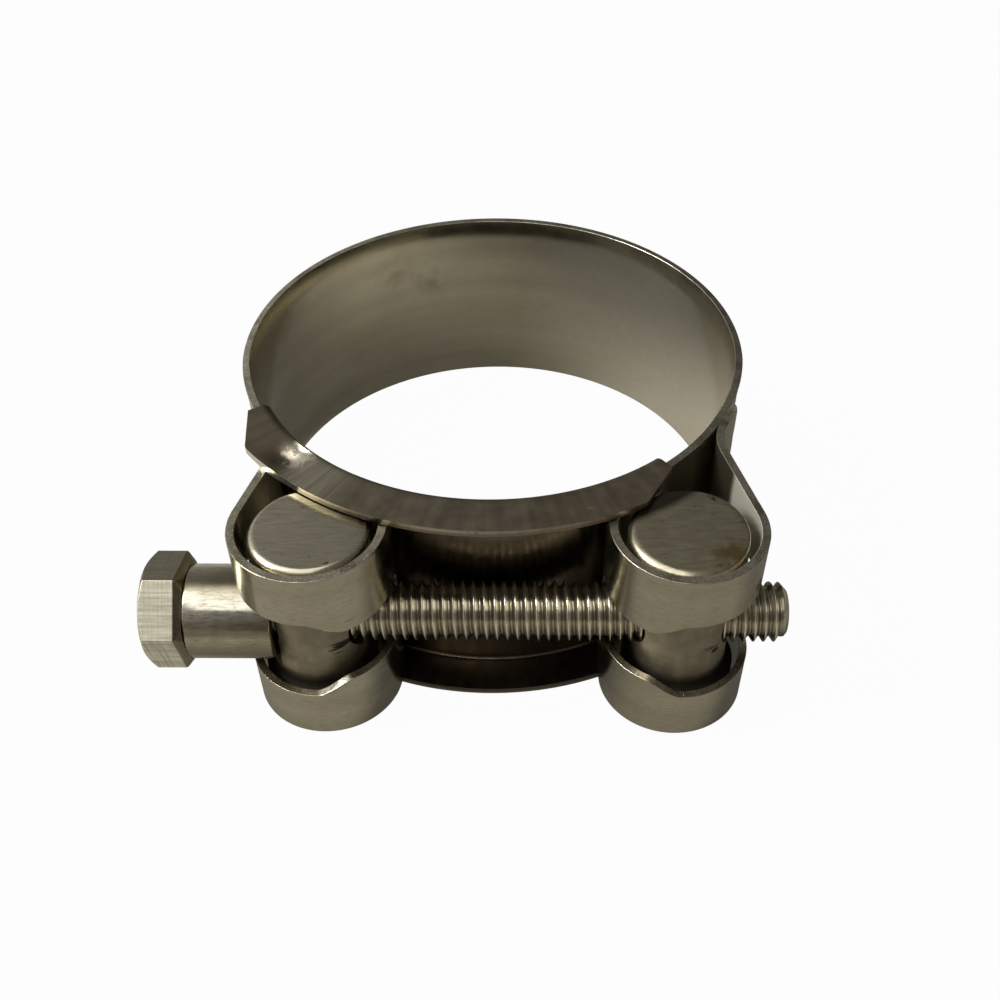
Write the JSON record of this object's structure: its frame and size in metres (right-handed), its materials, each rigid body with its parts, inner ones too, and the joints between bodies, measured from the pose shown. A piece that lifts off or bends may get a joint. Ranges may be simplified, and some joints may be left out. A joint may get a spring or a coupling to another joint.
{
  "type": "single bolt hose clamp",
  "caption": "Heavy-duty band clamp for hoses and pipes: a wide steel ring with looped ends, a bridge plate across its gap and a hex bolt that draws the trunnions in the loops together.",
  "frame": {"origin": "on the ring's axis at half the band's width", "axes": "+Z along the ring's axis, X along the bolt with the head at -X, bolt side towards -Y"},
  "size_m": [0.0621, 0.0622, 0.0238],
  "materials": {
    "band_steel": "satin cold-rolled stainless strip with bright sheared edges",
    "bridge_steel": "dull rolled stainless sheet with crosswise forming marks",
    "turned_steel": "turned stainless bar with fine tool marks",
    "bolt_steel": "rolled-thread stainless bolt with milled flats"
  },
  "bodies": {
    "clamp_body": {"band": "band_steel", "bridge": "bridge_steel", "nut_trunnion": "turned_steel"},
    "plain_trunnion": {"plain_trunnion": "turned_steel"},
    "spacer_sleeve": {"spacer_sleeve": "turned_steel"},
    "bolt": {"bolt": "bolt_steel"}
  },
  "joints": [
    {"name": "trunnion_swivel", "type": "hinge", "parent": "clamp_body", "child": "plain_trunnion", "pos_m": [-0.01693, -0.02885, 0], "axis": [0, 0, 1], "range_deg": [-3, 3]},
    {"name": "bolt_travel", "type": "slide", "parent": "clamp_body", "child": "spacer_sleeve", "axis": [-1, 0, 0], "range_m": [0, 0.012]},
    {"name": "bolt_turn", "type": "hinge", "parent": "spacer_sleeve", "child": "bolt", "pos_m": [0, -0.02885, 0], "axis": [-1, 0, 0], "range_deg": [0, 4320]}
  ],
  "couplings": [
    {"joint": "bolt_turn", "follows": "bolt_travel", "rad_per_m": 6283.2}
  ]
}
